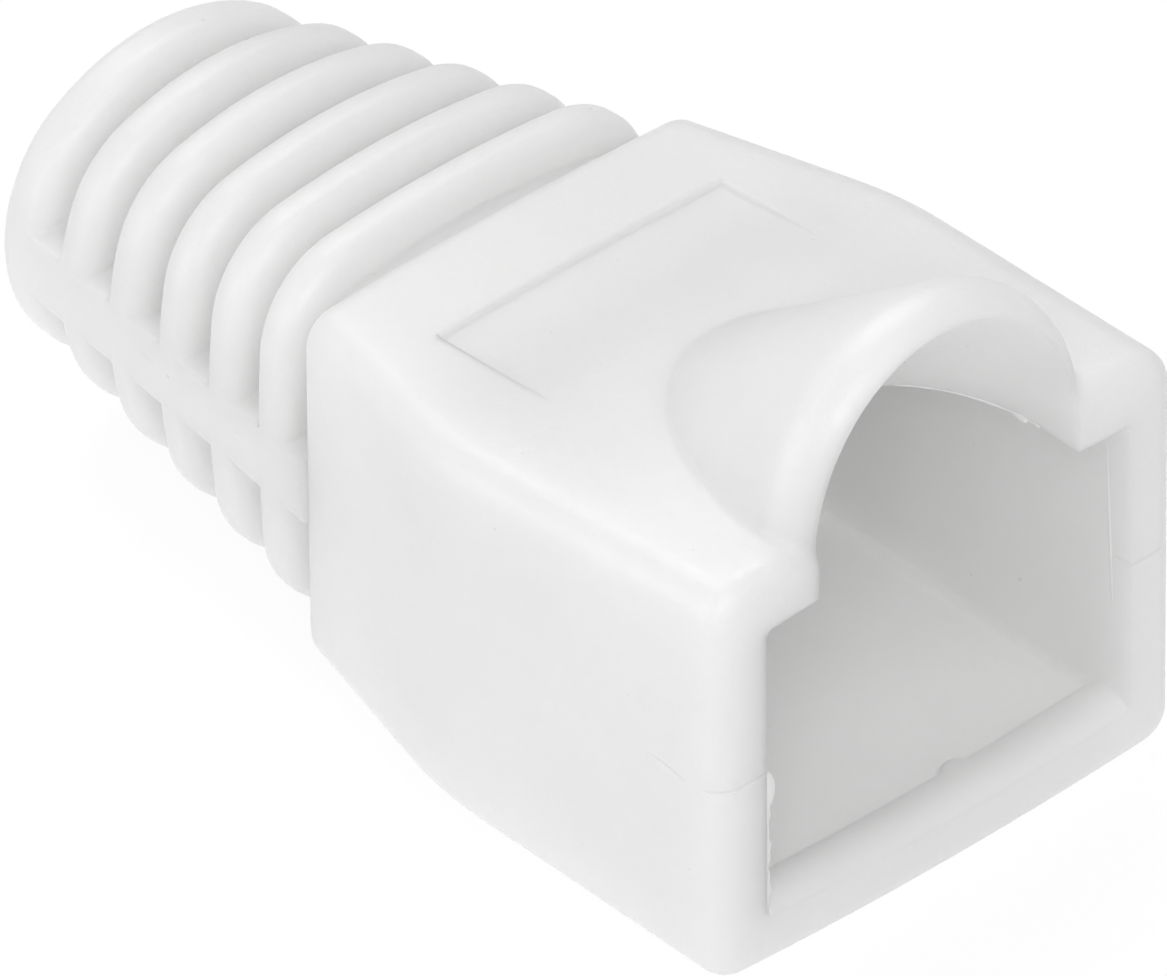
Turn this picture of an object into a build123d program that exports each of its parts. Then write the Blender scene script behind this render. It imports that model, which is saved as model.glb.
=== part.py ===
from build123d import *
import math
import os

# Strain relief boot for a modular network plug, moulded in one piece.
# X is the long axis: the plug goes in at +X and the cable leaves at -X.
# Z is up. The origin is under the middle of the boot, on the surface it rests on.
# Lengths are in millimetres.

# Block that grips the back of the plug
block_length = 15.9
mouth_width = 14.9
mouth_height = 11.45       # at the side edges, without the crown
block_width = 15.6        # at the bend of the sides
collar_width = 12.5
collar_height = 9.9
crown_rise = 0.29          # bulge of the top and bottom across the mouth
shoulder_setback = 6.3     # from the collar to the bend of the sides, if it were sharp
shoulder_radius = 9.5
long_edge_radius = 0.95
mouth_edge_radius = 0.7
collar_edge_radius = 0.5

# Cavity for the plug
side_wall = 1.55
floor_wall = 1.5
roof_wall = 1.45
cavity_depth = 11.2
cavity_crown = 0.2         # bulge of the floor and ceiling
cavity_corner_radius = 0.25
cone_mouth_radius = 3.8    # where the cable leaves the cavity
cone_length = 1.2

# Bead across the cavity floor that snaps behind the plug
bead_setback = 0.75        # from the mouth to the crest of the bead
bead_width = 1.45
bead_rise = 0.38
nub_radius = 0.45
nub_offset = 1.35          # from the middle of the bead
nub_setback = 0.45         # behind the crest of the bead

# Hood over the plug's latch: an arch that leans down into the top
hood_half_width = 4.87
hood_rise = 5.75           # crest at the mouth if it were sharp, above the top's side edges
hood_leg = 0.3             # straight stretch of the arch above the top
hood_fall_share = 0.71     # drop of the crest for each length it runs back
hood_rim_radius = 1.2
hood_blend_radius = 0.3    # where the hood rises from the top

# Channel under the hood, where the latch swings
channel_half_width = 4.2
channel_rise = 5.85        # crest at the mouth, above the cavity ceiling
channel_leg = 1.2
channel_fall_share = 0.93

# Shallow panel on the top, deepest at its rear edge
panel_setback = 9.0        # from the mouth to the panel's front edge
panel_length = 3.9
panel_width = 9.15
panel_depth = 0.2

# Ribbed sleeve round the cable
ring_count = 6
groove_length = 0.87
ring_length = 1.17
end_ring_length = 1.4
ring_edge_radius = 0.48
ring_taper = 2.9           # degrees, in each side of a ring, towards its rear rim
end_ring_width = 10.05
end_ring_height = 8.85
end_ring_corner_radius = 3.2
end_ring_side_bulge = 1.3
end_ring_top_bulge = 1.3
end_ring_drop = 0.22       # centre of the end ring and the cable, below the block's
last_ring_lift = 0.05      # centre of the last ring, above the block's
last_ring_width = 12.25
last_ring_height = 10.95
last_ring_corner_radius = 2.7
last_ring_side_bulge = 0.25
last_ring_top_bulge = 0.5
groove_depth = 1.0
spine_height = 1.8
spine_rise = 0.03          # above the front rims of the rings
cable_bore_radius = 2.9

overrun = 1.0              # how far one solid runs past a face that it cuts or joins

# Sizes that follow from those above
sleeve_length = end_ring_length + (ring_count - 1) * ring_length + ring_count * groove_length
length = block_length + sleeve_length
mouth_x = length / 2
collar_x = mouth_x - block_length
cable_x = -length / 2
end_ring_front_x = cable_x + end_ring_length
tube_start_x = end_ring_front_x - groove_length    # inside the end ring
axis_z = mouth_height / 2 + crown_rise
cable_z = axis_z - end_ring_drop
top_z = axis_z + mouth_height / 2
cavity_width = mouth_width - 2 * side_wall
floor_z = axis_z - mouth_height / 2 + floor_wall
cavity_height = mouth_height - floor_wall - roof_wall
ceiling_z = floor_z + cavity_height


def crowned_outline(width, height, side_bulge, top_bulge):
    """Four-sided outline whose sides bulge, within width and height overall."""
    half_width, half_height = width / 2, height / 2
    in_y, in_z = half_width - side_bulge, half_height - top_bulge
    return make_face([
        ThreePointArc((-in_y, in_z), (0, half_height), (in_y, in_z)),
        ThreePointArc((in_y, in_z), (half_width, 0), (in_y, -in_z)),
        ThreePointArc((in_y, -in_z), (0, -half_height), (-in_y, -in_z)),
        ThreePointArc((-in_y, -in_z), (-half_width, 0), (-in_y, in_z)),
    ])


def crowned_section(width, low, high, crown):
    """Upright sides from low to high, between a crowned top and a crowned bottom."""
    half = width / 2
    return make_face([
        Line((-half, low), (-half, high)),
        ThreePointArc((-half, high), (0, high + crown), (half, high)),
        Line((half, high), (half, low)),
        ThreePointArc((half, low), (0, low - crown), (-half, low)),
    ])


def block_section(height, x):
    """Outline of the block at x, before its sides are cut to the plan."""
    section = crowned_section(block_width, axis_z - height / 2, axis_z + height / 2, crown_rise)
    return Plane.YZ.offset(x) * section


def block_plan():
    """Plan of the block: a little wider behind the mouth, then bent in to the collar."""
    bend_x = collar_x + shoulder_setback
    side = [(mouth_x, mouth_width / 2), (bend_x, block_width / 2), (collar_x, collar_width / 2)]
    corners = side + [(x, -y) for x, y in reversed(side)]
    plan = make_face(Polyline(*corners, close=True))
    bends = plan.vertices().filter_by_position(Axis.X, bend_x - side_wall, bend_x + side_wall)
    return fillet(bends, shoulder_radius)


def block_solid():
    """Solid block with its long edges rounded."""
    rough = loft([block_section(mouth_height, mouth_x),
                  block_section(collar_height, collar_x)], ruled=True)
    prism = extrude(block_plan(), top_z + mouth_height, both=True)
    block = rough & prism
    long_edges = [e for e in block.edges() if e.bounding_box().size.X > crown_rise]
    return fillet(long_edges, long_edge_radius)


def arch(half_width, rise, leg, spring_z, x):
    """Arch profile at x: half an ellipse that springs at spring_z, on straight legs."""
    foot_z = spring_z - leg
    sides = Polyline((-half_width, spring_z), (-half_width, foot_z),
                     (half_width, foot_z), (half_width, spring_z))
    top = EllipticalCenterArc((0, spring_z), half_width, rise, 0, arc_size=180)
    return Plane.YZ.offset(x) * make_face([sides, top])


def leaning(profile, run, fall):
    """Extrude a profile back along X while it sinks by fall for each unit of run."""
    return extrude(profile, run * math.hypot(1, fall), dir=(-1, 0, -fall))


def hood_solid():
    """Outside of the latch hood, long enough for its crest to sink into the top."""
    profile = arch(hood_half_width, hood_rise - hood_leg, hood_leg + overrun,
                   top_z + hood_leg, mouth_x)
    hood = leaning(profile, (hood_rise + overrun) / hood_fall_share, hood_fall_share)
    rim = hood.faces().sort_by(Axis.X)[-1].edges().sort_by(Axis.Z)
    return fillet(rim[1:], hood_rim_radius)


def channel_cut():
    """Space under the hood, opened through the mouth and into the cavity."""
    lift = channel_fall_share * overrun
    profile = arch(channel_half_width, channel_rise - channel_leg,
                   channel_leg + lift + overrun, ceiling_z + channel_leg + lift,
                   mouth_x + overrun)
    return leaning(profile, overrun + channel_rise / channel_fall_share, channel_fall_share)


def cavity_cut():
    """Space for the plug, with a cone that leads the cable out at its back."""
    back_x = mouth_x - cavity_depth
    section = crowned_section(cavity_width, floor_z, ceiling_z, cavity_crown)
    section = Plane.YZ.offset(back_x) * fillet(section.vertices(), cavity_corner_radius)
    cone = Cone(cable_bore_radius, cone_mouth_radius, cone_length)
    return extrude(section, cavity_depth + overrun) + along_x(cone, back_x - cone_length / 2)


def along_x(solid, x):
    """Turn a solid of revolution onto the sleeve's axis, with its middle at x."""
    return Pos(x, 0, cable_z) * Rot(0, 90, 0) * solid


def bead_solid():
    """Rounded bead that follows the crowned floor, with a small nub behind its crest."""
    radius = (bead_width ** 2 / 4 + bead_rise ** 2) / (2 * bead_rise)
    half = cavity_width / 2 + cavity_corner_radius
    crest_x, end_z = mouth_x - bead_setback, floor_z + bead_rise - radius
    core = ThreePointArc((crest_x, -half, end_z), (crest_x, 0, end_z - cavity_crown),
                         (crest_x, half, end_z))
    bar = sweep(Plane(core @ 0, z_dir=core % 0) * Circle(radius), core)
    nub_z = floor_z + bead_rise - cavity_crown - nub_radius
    return bar + Pos(crest_x - nub_setback, nub_offset, nub_z) * Rot(0, 0, 180) * Sphere(nub_radius)


def panel_cut():
    """Recess in the top. Its floor keeps the crown, and sinks towards the rear."""
    tilt = math.degrees(math.atan(panel_depth / panel_length))
    front_x = mouth_x - panel_setback
    area = Box(panel_length + overrun, panel_width, floor_wall,
               align=(Align.MIN, Align.CENTER, Align.CENTER))
    hinge = Pos(front_x, 0, top_z)
    area = Pos(front_x - panel_length, 0, top_z) * area
    return area - hinge * Rot(0, -tilt, 0) * hinge.inverse() * block_solid()


def between(end, last, share):
    """Size of a ring, from the end ring at share 0 to the last one at share 1."""
    return end + share * (last - end)


def sleeve_outline(x, share, inset):
    """Outline at x of the ring at a share of the way, taken in by inset all round."""
    width = between(end_ring_width, last_ring_width, share) - 2 * inset
    height = between(end_ring_height, last_ring_height, share) - 2 * inset
    side_bulge = between(end_ring_side_bulge, last_ring_side_bulge, share)
    top_bulge = between(end_ring_top_bulge, last_ring_top_bulge, share)
    corner = between(end_ring_corner_radius, last_ring_corner_radius, share) - inset
    centre_z = between(cable_z, axis_z + last_ring_lift, share)
    outline = crowned_outline(width, height, side_bulge, top_bulge)
    outline = fillet(outline.vertices(), corner)
    return Plane.YZ.offset(x) * Pos(0, centre_z) * outline


def share_at(x):
    """How far x is from the front rim of the end ring to that of the last one."""
    return (x - end_ring_front_x) / ((ring_count - 1) * (ring_length + groove_length))


def tapered(inset):
    """Smooth taper from the end ring to the block, taken in by inset from the rings' rims."""
    return loft([sleeve_outline(tube_start_x, share_at(tube_start_x), inset),
                 sleeve_outline(collar_x, share_at(collar_x), inset)], ruled=True)


def ring_solid(front_x, thickness):
    """Ring that ends at front_x. Its rear rim stands a little above the sleeve's taper."""
    outline = sleeve_outline(front_x, share_at(front_x), 0)
    ring = extrude(outline, -thickness, taper=ring_taper)
    rims = ring.faces().sort_by(Axis.X)
    return fillet(rims[0].edges() + rims[-1].edges(), ring_edge_radius)


def spine_solid():
    """Flat-topped ribs that fill the grooves along both sides of the sleeve."""
    band = Pos(cable_x, 0, cable_z) * Box(
        length, last_ring_width + block_width, spine_height,
        align=(Align.MIN, Align.CENTER, Align.CENTER))
    return tapered(-spine_rise) & band


def sleeve_solid():
    """Rings on a tapered tube, joined by a spine along each side."""
    sleeve = tapered(groove_depth) + spine_solid()
    sleeve += ring_solid(end_ring_front_x, end_ring_length)
    for index in range(1, ring_count):
        sleeve += ring_solid(end_ring_front_x + index * (groove_length + ring_length), ring_length)
    return sleeve


def boot():
    """The whole moulding, set down on its lowest point."""
    ends = block_solid().faces().sort_by(Axis.X)
    shell = fillet(ends[0].edges(), collar_edge_radius)
    shell = fillet(shell.faces().sort_by(Axis.X)[-1].edges(), mouth_edge_radius) - panel_cut()
    hood = hood_solid()
    body = shell + hood
    foot = new_edges(shell, hood, combined=body)
    uncut = fillet(foot, hood_blend_radius) + sleeve_solid()
    body = uncut - [cavity_cut(), channel_cut()]
    body -= along_x(Cylinder(cable_bore_radius, length + 2 * overrun), 0)
    body += bead_solid() & uncut
    return Pos(0, 0, -body.bounding_box().min.Z) * body


os.makedirs("parts", exist_ok=True)
export_step(boot(), "parts/boot.step")
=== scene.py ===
import math

import bmesh
import bpy
from mathutils import Matrix, Vector


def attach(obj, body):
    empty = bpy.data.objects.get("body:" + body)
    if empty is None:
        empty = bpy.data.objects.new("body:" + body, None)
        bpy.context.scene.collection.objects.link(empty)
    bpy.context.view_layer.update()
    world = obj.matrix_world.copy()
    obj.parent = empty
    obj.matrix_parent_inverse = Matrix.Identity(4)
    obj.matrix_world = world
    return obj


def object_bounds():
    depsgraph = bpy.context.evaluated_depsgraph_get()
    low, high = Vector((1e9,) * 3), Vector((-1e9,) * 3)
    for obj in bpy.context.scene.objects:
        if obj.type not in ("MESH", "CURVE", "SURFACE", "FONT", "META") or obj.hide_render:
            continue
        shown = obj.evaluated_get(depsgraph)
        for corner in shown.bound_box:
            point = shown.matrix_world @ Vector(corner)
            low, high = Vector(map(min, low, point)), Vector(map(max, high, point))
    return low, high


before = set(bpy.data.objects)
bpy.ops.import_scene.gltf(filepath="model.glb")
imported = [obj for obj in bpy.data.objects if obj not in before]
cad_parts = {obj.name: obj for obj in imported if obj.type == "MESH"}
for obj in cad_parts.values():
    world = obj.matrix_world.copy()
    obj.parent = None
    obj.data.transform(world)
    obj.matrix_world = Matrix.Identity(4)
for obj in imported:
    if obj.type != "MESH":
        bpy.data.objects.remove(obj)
cad_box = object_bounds()

MM = 0.001

# The photograph's camera, fitted to the outline and the edges of the boot
PHOTO_W, PHOTO_H = 1167, 976
AZIMUTH, ELEVATION, ROLL = 47.815, 36.822, -0.57    # degrees
DISTANCE = 664 * MM
PIXELS_PER_MM = 41.714          # at the target
TARGET = Vector((0, 0, 5.965 * MM))
TARGET_PIXEL = (544.43, 411.22)

# Places on the boot that the moulding marks keep to, in millimetres
MOUTH_X = cad_box[1][0] / MM
CAVITY_HALF_WIDTH = 5.9
CEILING_Z = 10.35               # of the cavity, where the channel opens into it
CHANNEL_HALF_WIDTH = 4.2
CHANNEL_BEND_X = 13.0           # where its straight sides turn into its arch
CHANNEL_REACH = 4.89            # of the arch, back from there
CEILING_SLOPE = 0.0225          # rise of the ceiling for each length the arch runs back
PARTING_Z = 6.08                # where the two halves of the mould met
RIM_WIDTH = 0.72                # reach of the mouth's rounding, back from its face

# Witness lines of the mould: start, end and half width, in millimetres
WITNESS_LINES = {
    "side_witness": ((11.95, -7.66, 6.42), (13.2, -7.62, 6.2), 0.045),
    "spine_witness_1": ((-8.75, -5.455, 6.06), (-7.55, -5.585, 6.0), 0.05),
    "spine_witness_2": ((-4.85, -5.875, 5.98), (-3.8, -5.99, 5.92), 0.05),
    "wall_witness": ((13.36, CAVITY_HALF_WIDTH, 9.3), (13.58, CAVITY_HALF_WIDTH, 4.4), 0.04),
}
WITNESS_STEPS = 24
FLASH_STEPS = 60

# Skin of the soft PVC. The scales of its noises are for each metre.
GRAIN_SCALE, GRAIN_HEIGHT = 9000, 0.012 * MM
PEBBLE_SCALE, PEBBLE_HEIGHT = 2600, 0.012 * MM
CLOUD_SCALE = 170
DULL_WHITE = (0.850, 0.850, 0.847, 1)
CLEAR_WHITE = (0.875, 0.875, 0.872, 1)
SCATTER_REACH = 3.2 * MM
EDGE_SOFTNESS = 0.22 * MM       # how far the light takes each crease as rounded
NO_SOFTNESS = 0.001 * MM        # for marks finer than that rounding

# Floor
FLOOR_HALF = 1.5
FLOOR_DROP = 0.02 * MM          # below the boot, so that their faces never coincide
FLOOR_WHITE = 0.88              # share of the seen white that no shadow reaches
FLOOR_SHADED = 0.16             # share that takes the shadow
PAPER_WHITE = 0.8               # what the light meets

# Lamps: direction from the boot, distance, size, power
LAMPS = {
    "left": ((-0.30, -0.90, 0.26), 0.35, 0.25, 0.33),
    "front": ((0.593, -0.538, 0.599), 0.45, 0.14, 0.48),
    "high": ((0.62, -0.08, 0.78), 0.35, 0.25, 0.31),
    "back": ((-0.45, 0.25, 0.86), 0.35, 0.25, 0.53),
}
WORLD_LIGHT = 0.17
TABLE_LIGHT = 0.29              # the light table under the boot


class Nodes:
    """Short way to write a node tree."""

    def __init__(self, tree):
        self.tree = tree
        tree.nodes.clear()

    def add(self, kind, inputs=None, **settings):
        node = self.tree.nodes.new(kind)
        for name, value in settings.items():
            setattr(node, name, value)
        for name, value in (inputs or {}).items():
            self.put(node, name, value)
        return node

    def put(self, node, name, value):
        socket = node.inputs[name]
        if isinstance(value, bpy.types.NodeSocket):
            self.tree.links.new(value, socket)
        else:
            socket.default_value = value

    def math(self, operation, a, b=0.0):
        return self.add("ShaderNodeMath", {0: a, 1: b}, operation=operation).outputs[0]

    def smooth(self, value, low, high, out_low=0.0, out_high=1.0):
        """Smooth step of value from low to high, mapped to the two outputs."""
        node = self.add("ShaderNodeMapRange",
                        {"Value": value, "From Min": low, "From Max": high,
                         "To Min": out_low, "To Max": out_high},
                        interpolation_type="SMOOTHSTEP")
        return node.outputs["Result"]

    def noise(self, coords, scale, detail=2.0, rough=0.5):
        node = self.add("ShaderNodeTexNoise",
                        {"Vector": coords, "Scale": scale, "Detail": detail,
                         "Roughness": rough})
        return node.outputs["Fac"]

    def emission(self, strength):
        return self.add("ShaderNodeEmission", {"Color": (1, 1, 1, 1), "Strength": strength})

    def diffuse(self, grey):
        return self.add("ShaderNodeBsdfDiffuse", {"Color": (grey, grey, grey, 1)})

    def both(self, first, second):
        return self.add("ShaderNodeAddShader", {0: first.outputs[0], 1: second.outputs[0]})

    def seen(self):
        """1 for what the camera, a reflection or glass sees, and 0 for light."""
        path = self.add("ShaderNodeLightPath")
        mirrored = self.math("MAXIMUM", path.outputs["Is Glossy Ray"],
                             path.outputs["Is Transmission Ray"])
        return self.math("MAXIMUM", path.outputs["Is Camera Ray"], mirrored)


def material(name):
    made = bpy.data.materials.new(name)
    made.use_nodes = True
    return made, Nodes(made.node_tree)


def parting_groove(n, coords):
    """Height of the fine step that the mould's parting line leaves across the mouth's rim."""
    place = n.add("ShaderNodeSeparateXYZ", {0: coords})
    wander = n.math("MULTIPLY", n.math("SUBTRACT", n.noise(coords, 900), 0.5), 0.12 * MM)
    above = n.math("SUBTRACT", n.math("ADD", place.outputs["Z"], wander), PARTING_Z * MM)
    step = n.smooth(above, -0.03 * MM, 0.03 * MM, 0.0, 0.022 * MM)
    dip = n.smooth(n.math("ABSOLUTE", above), 0.0, 0.07 * MM, -0.03 * MM, 0.0)
    at_rim = n.smooth(place.outputs["X"], (MOUTH_X - RIM_WIDTH) * MM,
                      (MOUTH_X - RIM_WIDTH / 2) * MM)
    near = n.smooth(n.math("ABSOLUTE", above), 0.25 * MM, 0.6 * MM, 1.0, 0.0)
    shape = n.math("MULTIPLY", n.math("ADD", step, dip), near)
    return n.math("MULTIPLY", shape, at_rim)


def soft_pvc(name, scatter, softness):
    """Off-white moulded PVC: satin, with a fine grain and faint flow marks."""
    made, n = material(name)
    coords = n.add("ShaderNodeTexCoord").outputs["Object"]
    grain = n.noise(coords, GRAIN_SCALE, 3.0, 0.6)
    pebble = n.noise(coords, PEBBLE_SCALE, 2.0, 0.5)
    cloud = n.noise(coords, CLOUD_SCALE, 3.0, 0.55)
    colour = n.add("ShaderNodeMix", {"Factor": n.smooth(cloud, 0.3, 0.7), "A": DULL_WHITE,
                                     "B": CLEAR_WHITE}, data_type="RGBA")
    rough = n.math("ADD", 0.20, n.math("MULTIPLY", pebble, 0.34))
    height = n.math("ADD", n.math("MULTIPLY", grain, GRAIN_HEIGHT),
                    n.math("MULTIPLY", pebble, PEBBLE_HEIGHT))
    height = n.math("ADD", height, parting_groove(n, coords))
    soft = n.add("ShaderNodeBevel", {"Radius": softness}, samples=6)
    bump = n.add("ShaderNodeBump", {"Height": height, "Strength": 1.0, "Distance": 1.0,
                                    "Normal": soft.outputs["Normal"]})
    shader = n.add("ShaderNodeBsdfPrincipled",
                   {"Base Color": colour.outputs["Result"], "Roughness": rough,
                    "IOR": 1.52, "Subsurface Weight": scatter,
                    "Subsurface Radius": (1.0, 1.0, 0.98), "Subsurface Scale": SCATTER_REACH,
                    "Normal": bump.outputs["Normal"]})
    n.add("ShaderNodeOutputMaterial", {"Surface": shader.outputs[0]})
    return made


def floor_material():
    """White floor that keeps a faint shadow: most of what is seen of it is its own white."""
    made, n = material("floor")
    seen = n.both(n.diffuse(FLOOR_SHADED), n.emission(FLOOR_WHITE))
    lit = n.both(n.diffuse(PAPER_WHITE), n.emission(TABLE_LIGHT))
    mix = n.add("ShaderNodeMixShader", {"Fac": n.seen(), 1: lit.outputs[0],
                                        2: seen.outputs[0]})
    n.add("ShaderNodeOutputMaterial", {"Surface": mix.outputs[0]})
    return made


def add_mark(name, mesh, pvc):
    """A small piece of flash or a witness line, which is part of the moulding."""
    for face in mesh.polygons:
        face.use_smooth = True
    mark = bpy.data.objects.new(name, mesh)
    mark.data.materials.append(pvc)
    mark.visible_shadow = mark.visible_diffuse = False    # light still soaks in beneath it
    bpy.context.scene.collection.objects.link(mark)
    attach(mark, "root")


def ridge(name, points, radii, pvc, thin=1.0, sides=10):
    """Fine ridge along points, half sunk in the surface. thin flattens it along X."""
    mesh = bpy.data.meshes.new(name)
    verts, faces = [], []
    for i, (point, radius) in enumerate(zip(points, radii)):
        before, after = points[max(i - 1, 0)], points[min(i + 1, len(points) - 1)]
        along = (after - before).normalized()
        first = along.orthogonal().normalized()
        second = along.cross(first)
        for k in range(sides):
            turn = 2 * math.pi * k / sides
            out = radius * (math.cos(turn) * first + math.sin(turn) * second)
            verts.append(point + Vector((out.x * thin, out.y, out.z)))
    for i in range(len(points) - 1):
        for k in range(sides):
            a, b = i * sides + k, i * sides + (k + 1) % sides
            faces.append((a, b, b + sides, a + sides))
    faces += [tuple(reversed(range(sides))), tuple(range(len(verts) - sides, len(verts)))]
    mesh.from_pydata(verts, [], faces)
    add_mark(name, mesh, pvc)


def nub(name, centre, radii, pvc):
    """Small rounded lump, given in millimetres."""
    shape = bmesh.new()
    bmesh.ops.create_uvsphere(shape, u_segments=32, v_segments=20, radius=1)
    for vert in shape.verts:
        vert.co = Vector(c + r * v for c, r, v in zip(centre, radii, vert.co)) * MM
    mesh = bpy.data.meshes.new(name)
    shape.to_mesh(mesh)
    shape.free()
    add_mark(name, mesh, pvc)


def straight(start, end, steps):
    """Points from start to end, in millimetres."""
    start, end = Vector(start) * MM, Vector(end) * MM
    return [start.lerp(end, i / steps) for i in range(steps + 1)]


def channel_edge(steps):
    """Points along the rear lower edge of the space under the hood, on its far side."""
    points = []
    for i in range(steps + 1):
        turn = math.radians(10 + 78 * i / steps)
        back = CHANNEL_REACH * math.cos(turn)
        points.append(Vector((CHANNEL_BEND_X - back, CHANNEL_HALF_WIDTH * math.sin(turn),
                              CEILING_Z + CEILING_SLOPE * back)) * MM)
    return points


def swelling(count, widest):
    """Radii that rise from nearly nothing to widest and fall again."""
    return [widest * (0.08 + 0.92 * math.sin(math.pi * i / (count - 1)) ** 0.6)
            for i in range(count)]


def wavy(count):
    """Radii of torn flash, which never repeat along its length."""
    return [(0.16 + 0.03 * math.sin(0.31 * i) + 0.02 * math.sin(0.83 * i + 1)) * MM
            for i in range(count)]


def add_marks(pvc):
    """Marks of moulding and trimming, where the photograph shows them."""
    for name, (start, end, half_width) in WITNESS_LINES.items():
        points = straight(start, end, WITNESS_STEPS)
        ridge(name, points, swelling(len(points), half_width * MM), pvc)
    nub("rim_flash", (MOUTH_X - 0.105, -CAVITY_HALF_WIDTH, 5.45), (0.1, 0.35, 0.6), pvc)
    flash = wavy(FLASH_STEPS + 1)
    edge_x, edge_y = MOUTH_X - 0.085, 0.01 - CAVITY_HALF_WIDTH
    edge = straight((edge_x, edge_y, 5.2), (edge_x, edge_y, 1.72), FLASH_STEPS)
    ridge("edge_flash", edge, flash, pvc, thin=0.35)
    hair = [0.2 * radius for radius in flash]
    ridge("channel_flash", channel_edge(FLASH_STEPS), hair, pvc)
    nub("channel_chip", (12.2, CHANNEL_HALF_WIDTH - 0.06, CEILING_Z - 0.01),
        (0.26, 0.08, 0.10), pvc)


def add_floor():
    """Wide floor under the boot."""
    mesh = bpy.data.meshes.new("floor")
    corners = [(x * FLOOR_HALF, y * FLOOR_HALF, 0)
               for x, y in ((-1, -1), (1, -1), (1, 1), (-1, 1))]
    mesh.from_pydata(corners, [], [(0, 1, 2, 3)])
    floor = bpy.data.objects.new("floor", mesh)
    floor.location.z = -FLOOR_DROP
    floor.data.materials.append(floor_material())
    bpy.context.scene.collection.objects.link(floor)


def add_lamp(name, direction, distance, size, power):
    """Square soft lamp that shines on the boot from a direction."""
    lamp = bpy.data.lights.new(name, "AREA")
    lamp.shape = "SQUARE"
    lamp.size = size
    lamp.energy = power
    place = bpy.data.objects.new(name, lamp)
    aim = Vector(direction).normalized()
    place.location = TARGET + aim * distance
    place.rotation_mode = "QUATERNION"
    place.rotation_quaternion = aim.to_track_quat("Z", "Y")
    bpy.context.scene.collection.objects.link(place)


def set_world():
    """Even white light; the camera, reflections and glass see plain white."""
    world = bpy.data.worlds.new("studio")
    bpy.context.scene.world = world
    world.use_nodes = True
    n = Nodes(world.node_tree)
    strength = n.math("ADD", WORLD_LIGHT, n.math("MULTIPLY", n.seen(), 1 - WORLD_LIGHT))
    background = n.add("ShaderNodeBackground", {"Color": (1, 1, 1, 1), "Strength": strength})
    n.add("ShaderNodeOutputWorld", {"Surface": background.outputs[0]})


def add_camera():
    """Camera at the photograph's viewing angle, turned so the target falls on its pixel."""
    a, e, r = (math.radians(v) for v in (AZIMUTH, ELEVATION, ROLL))
    back = Vector((math.sin(a) * math.cos(e), -math.cos(a) * math.cos(e), math.sin(e)))
    right = Vector((math.cos(a), math.sin(a), 0))
    up = back.cross(right)
    right, up = (right * math.cos(r) + up * math.sin(r),
                 up * math.cos(r) - right * math.sin(r))
    focal = PIXELS_PER_MM / MM * DISTANCE
    off_x = (TARGET_PIXEL[0] - PHOTO_W / 2) / focal
    off_y = (TARGET_PIXEL[1] - PHOTO_H / 2) / focal
    forward = (-back - right * off_x + up * off_y).normalized()
    right = (right - forward * right.dot(forward)).normalized()
    up = right.cross(forward)
    data = bpy.data.cameras.new("camera")
    data.sensor_width = 36
    data.lens = focal / PHOTO_W * data.sensor_width
    data.clip_start, data.clip_end = 0.05, 5
    camera = bpy.data.objects.new("camera", data)
    axes = Matrix((right, up, -forward)).transposed()
    camera.matrix_world = Matrix.Translation(TARGET + back * DISTANCE) @ axes.to_4x4()
    bpy.context.scene.collection.objects.link(camera)
    bpy.context.scene.camera = camera


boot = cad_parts["boot"]
boot.data.materials.clear()
boot.data.materials.append(soft_pvc("soft_pvc", 1.0, EDGE_SOFTNESS))
add_marks(soft_pvc("soft_pvc_thin", 0.0, NO_SOFTNESS))

add_floor()
set_world()
for name, (direction, distance, size, power) in LAMPS.items():
    add_lamp(name, direction, distance, size, power)
add_camera()
bpy.context.scene.view_settings.view_transform = "Standard"
